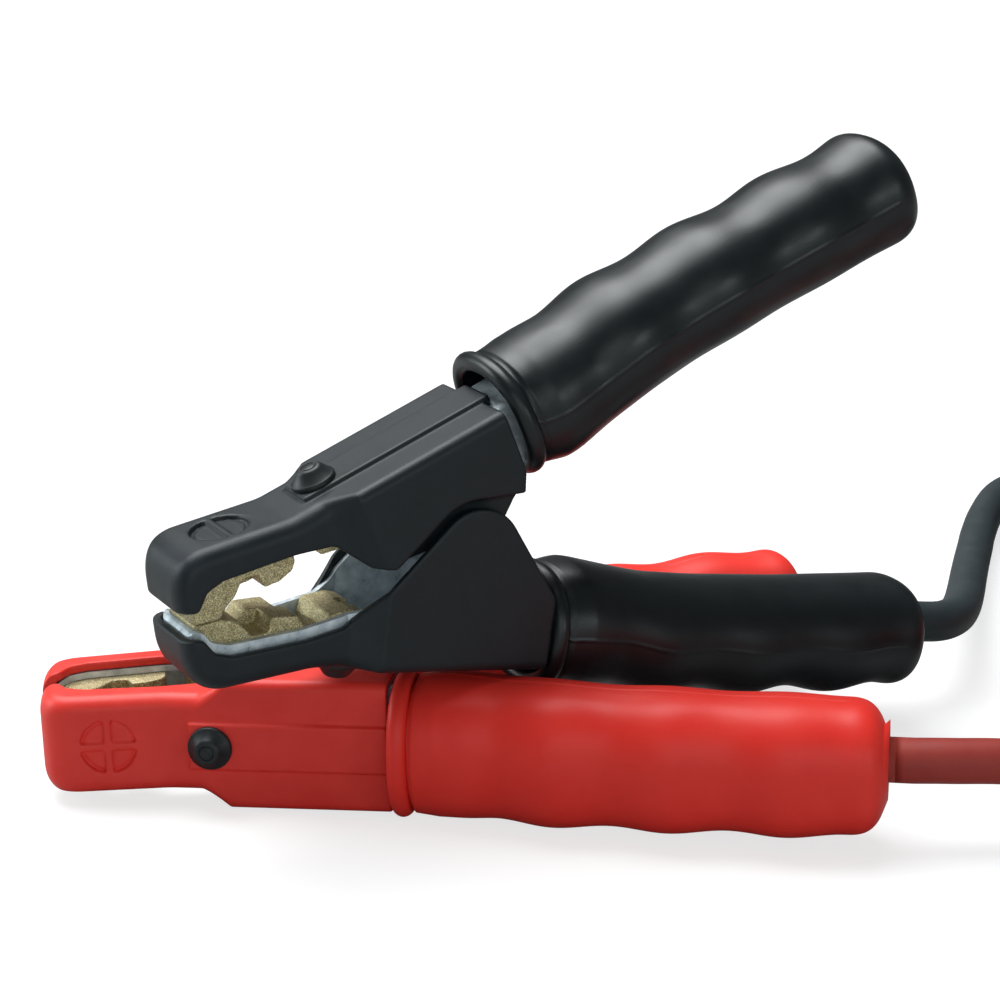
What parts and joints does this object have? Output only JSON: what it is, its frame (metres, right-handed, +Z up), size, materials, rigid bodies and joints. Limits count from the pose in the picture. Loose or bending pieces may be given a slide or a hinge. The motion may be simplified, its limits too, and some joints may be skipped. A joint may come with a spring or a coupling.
{
  "type": "car battery charger clamp leads",
  "caption": "Black and red insulated spring clamps of a car battery charger, lying across each other, each on a coiled lead to a shared connector.",
  "frame": {"origin": "floor point under the middle of the two clamps, leads and connector left out", "axes": "+X from the jaws to the handles of the red clamp, +Y away from the front, +Z up"},
  "size_m": [0.4249, 0.2604, 0.1245],
  "materials": {
    "black_cover": "fine moulded grain",
    "red_cover": "satin, faint moulding marks",
    "black_grip": "soft PVC with a satin sheen",
    "red_grip": "soft PVC with a satin sheen",
    "zinc_steel": "bright zinc plating",
    "spring_steel": "drawn wire, zinc plated",
    "sintered_brass": "speckled, as cast",
    "rivet_plastic": "moulded",
    "copper": "bare copper",
    "black_cable": "matt jacket",
    "red_cable": "matt jacket",
    "tie_plastic": "smooth",
    "connector_plastic": "fine moulded grain"
  },
  "bodies": {
    "leads": {"black_lead_frame": "zinc_steel", "black_lead_cover": "black_cover", "black_lead_grip": "black_grip", "black_lead_jaw": "sintered_brass", "black_lead_rivet": "rivet_plastic", "black_pivot_pin": "zinc_steel", "black_spring": "spring_steel", "black_lead_heel": "sintered_brass", "black_lug": "copper", "black_lug_screw": "zinc_steel", "black_lead_inner": "black_cable", "red_lead_frame": "zinc_steel", "red_lead_cover": "red_cover", "red_lead_grip": "red_grip", "red_lead_jaw": "sintered_brass", "red_lead_rivet": "rivet_plastic", "red_pivot_pin": "zinc_steel", "red_spring": "spring_steel", "red_lead_heel": "sintered_brass", "red_lug": "copper", "red_lug_screw": "zinc_steel", "red_lead_inner": "red_cable", "black_lead_free": "black_cable", "red_lead_free": "red_cable", "black_coil": "black_cable", "red_coil": "red_cable", "black_tie": "tie_plastic", "red_tie": "tie_plastic", "black_tail": "black_cable", "red_tail": "red_cable", "connector_housing": "connector_plastic", "black_contact": "copper", "red_contact": "copper"},
    "black_lever": {"black_swing_frame": "zinc_steel", "black_swing_cover": "black_cover", "black_swing_grip": "black_grip", "black_swing_jaw": "sintered_brass", "black_swing_heel": "sintered_brass", "black_swing_rivet": "rivet_plastic"},
    "red_lever": {"red_swing_frame": "zinc_steel", "red_swing_cover": "red_cover", "red_swing_grip": "red_grip", "red_swing_jaw": "sintered_brass", "red_swing_heel": "sintered_brass", "red_swing_rivet": "rivet_plastic"}
  },
  "joints": [
    {"name": "black_jaw_hinge", "type": "hinge", "parent": "leads", "child": "black_lever", "pos_m": [-0.0087, -0.0228, 0.0545], "axis": [-0.471, 0.8821, 0], "range_deg": [0, 36], "stiffness_Nm_per_rad": 0.6, "springref_deg": -34.38, "deforming": ["black_spring"]},
    {"name": "red_jaw_hinge", "type": "hinge", "parent": "leads", "child": "red_lever", "pos_m": [-0.031, -0.008, 0.0143], "axis": [0.0347, 0.0036, -0.9994], "range_deg": [0, 3], "stiffness_Nm_per_rad": 0.6, "springref_deg": -34.38, "deforming": ["red_spring"]}
  ]
}
